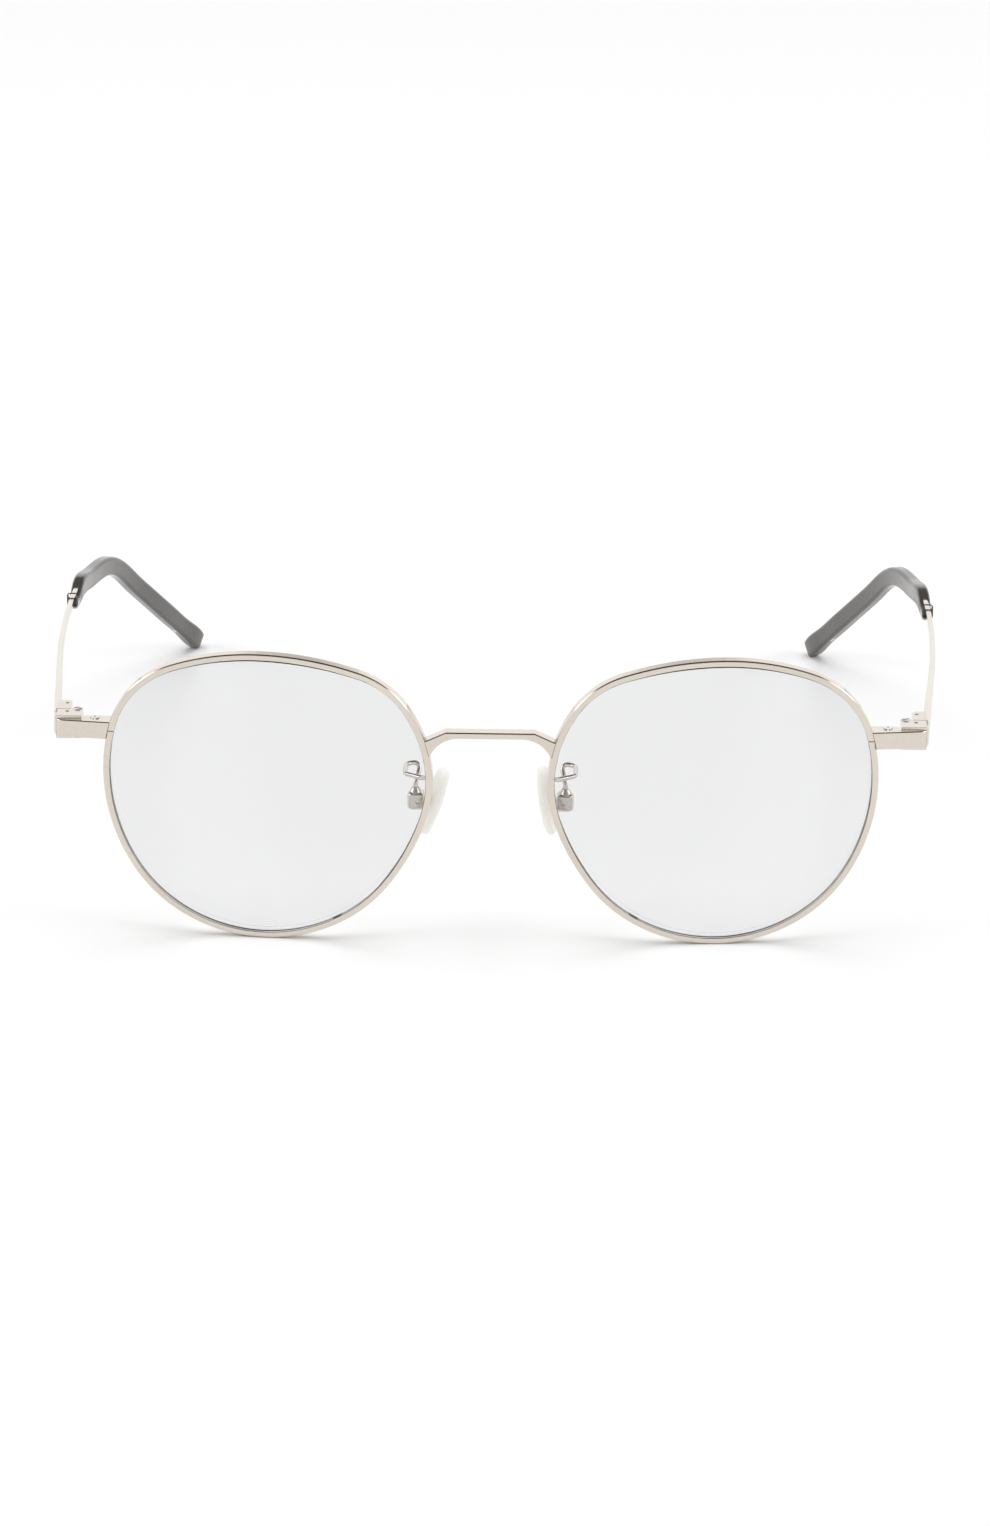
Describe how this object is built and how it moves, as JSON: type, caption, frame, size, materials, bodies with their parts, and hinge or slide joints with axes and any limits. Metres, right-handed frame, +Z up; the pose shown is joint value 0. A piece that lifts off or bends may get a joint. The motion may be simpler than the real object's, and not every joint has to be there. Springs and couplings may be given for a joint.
{
  "type": "eyeglasses",
  "caption": "Round wire eyeglasses with clear lenses, a flat bar bridge, rocking silicone nose pads and hinged temples with slim dark tips.",
  "frame": {"origin": "on the surface the glasses stand on, under the middle of the whole open object", "axes": "+X to the wearer's left, +Y from the front back along the temples, +Z up; the front faces -Y"},
  "size_m": [0.1528, 0.1402, 0.051],
  "materials": {
    "frame_metal": "champagne plating, satin faces with polished edges",
    "hinge_metal": "polished, lightly tumbled nickel plating",
    "screw_metal": "bright turned screws",
    "lens": "clear demo lens with a polished bevel",
    "silicone": "translucent, softly matt",
    "core_plastic": "clear moulded core",
    "acetate": "tumbled gloss acetate"
  },
  "bodies": {
    "front": {"bridge": "frame_metal", "left_eyewire": "frame_metal", "left_lens": "lens", "left_closing_block_upper": "hinge_metal", "left_closing_block_lower": "hinge_metal", "left_closing_screw": "screw_metal", "left_end_piece": "frame_metal", "left_hinge_front_leaf": "hinge_metal", "left_hinge_screw": "screw_metal", "left_pad_arm": "hinge_metal", "left_pad_box": "hinge_metal", "left_pad_screw": "screw_metal", "right_eyewire": "frame_metal", "right_lens": "lens", "right_closing_block_upper": "hinge_metal", "right_closing_block_lower": "hinge_metal", "right_closing_screw": "screw_metal", "right_end_piece": "frame_metal", "right_hinge_front_leaf": "hinge_metal", "right_hinge_screw": "screw_metal", "right_pad_arm": "hinge_metal", "right_pad_box": "hinge_metal", "right_pad_screw": "screw_metal"},
    "left_temple": {"left_temple": "frame_metal", "left_hinge_temple_leaf": "hinge_metal", "left_temple_tip": "acetate"},
    "left_pad": {"left_nose_pad": "silicone", "left_pad_core": "core_plastic"},
    "right_temple": {"right_temple": "frame_metal", "right_hinge_temple_leaf": "hinge_metal", "right_temple_tip": "acetate"},
    "right_pad": {"right_nose_pad": "silicone", "right_pad_core": "core_plastic"}
  },
  "joints": [
    {"name": "left_temple_fold", "type": "hinge", "parent": "front", "child": "left_temple", "pos_m": [0.06735, -0.06154, 0.03639], "axis": [0, 0, 1], "range_deg": [0, 76]},
    {"name": "right_temple_fold", "type": "hinge", "parent": "front", "child": "right_temple", "pos_m": [-0.06735, -0.06154, 0.03639], "axis": [0, 0, -1], "range_deg": [0, 85]},
    {"name": "left_pad_rock", "type": "hinge", "parent": "front", "child": "left_pad", "pos_m": [0.0119, -0.06274, 0.02394], "axis": [0, 1, 0], "range_deg": [-19.5, 10.5]},
    {"name": "right_pad_rock", "type": "hinge", "parent": "front", "child": "right_pad", "pos_m": [-0.0119, -0.06274, 0.02394], "axis": [0, 1, 0], "range_deg": [-19.5, 10.5]}
  ]
}
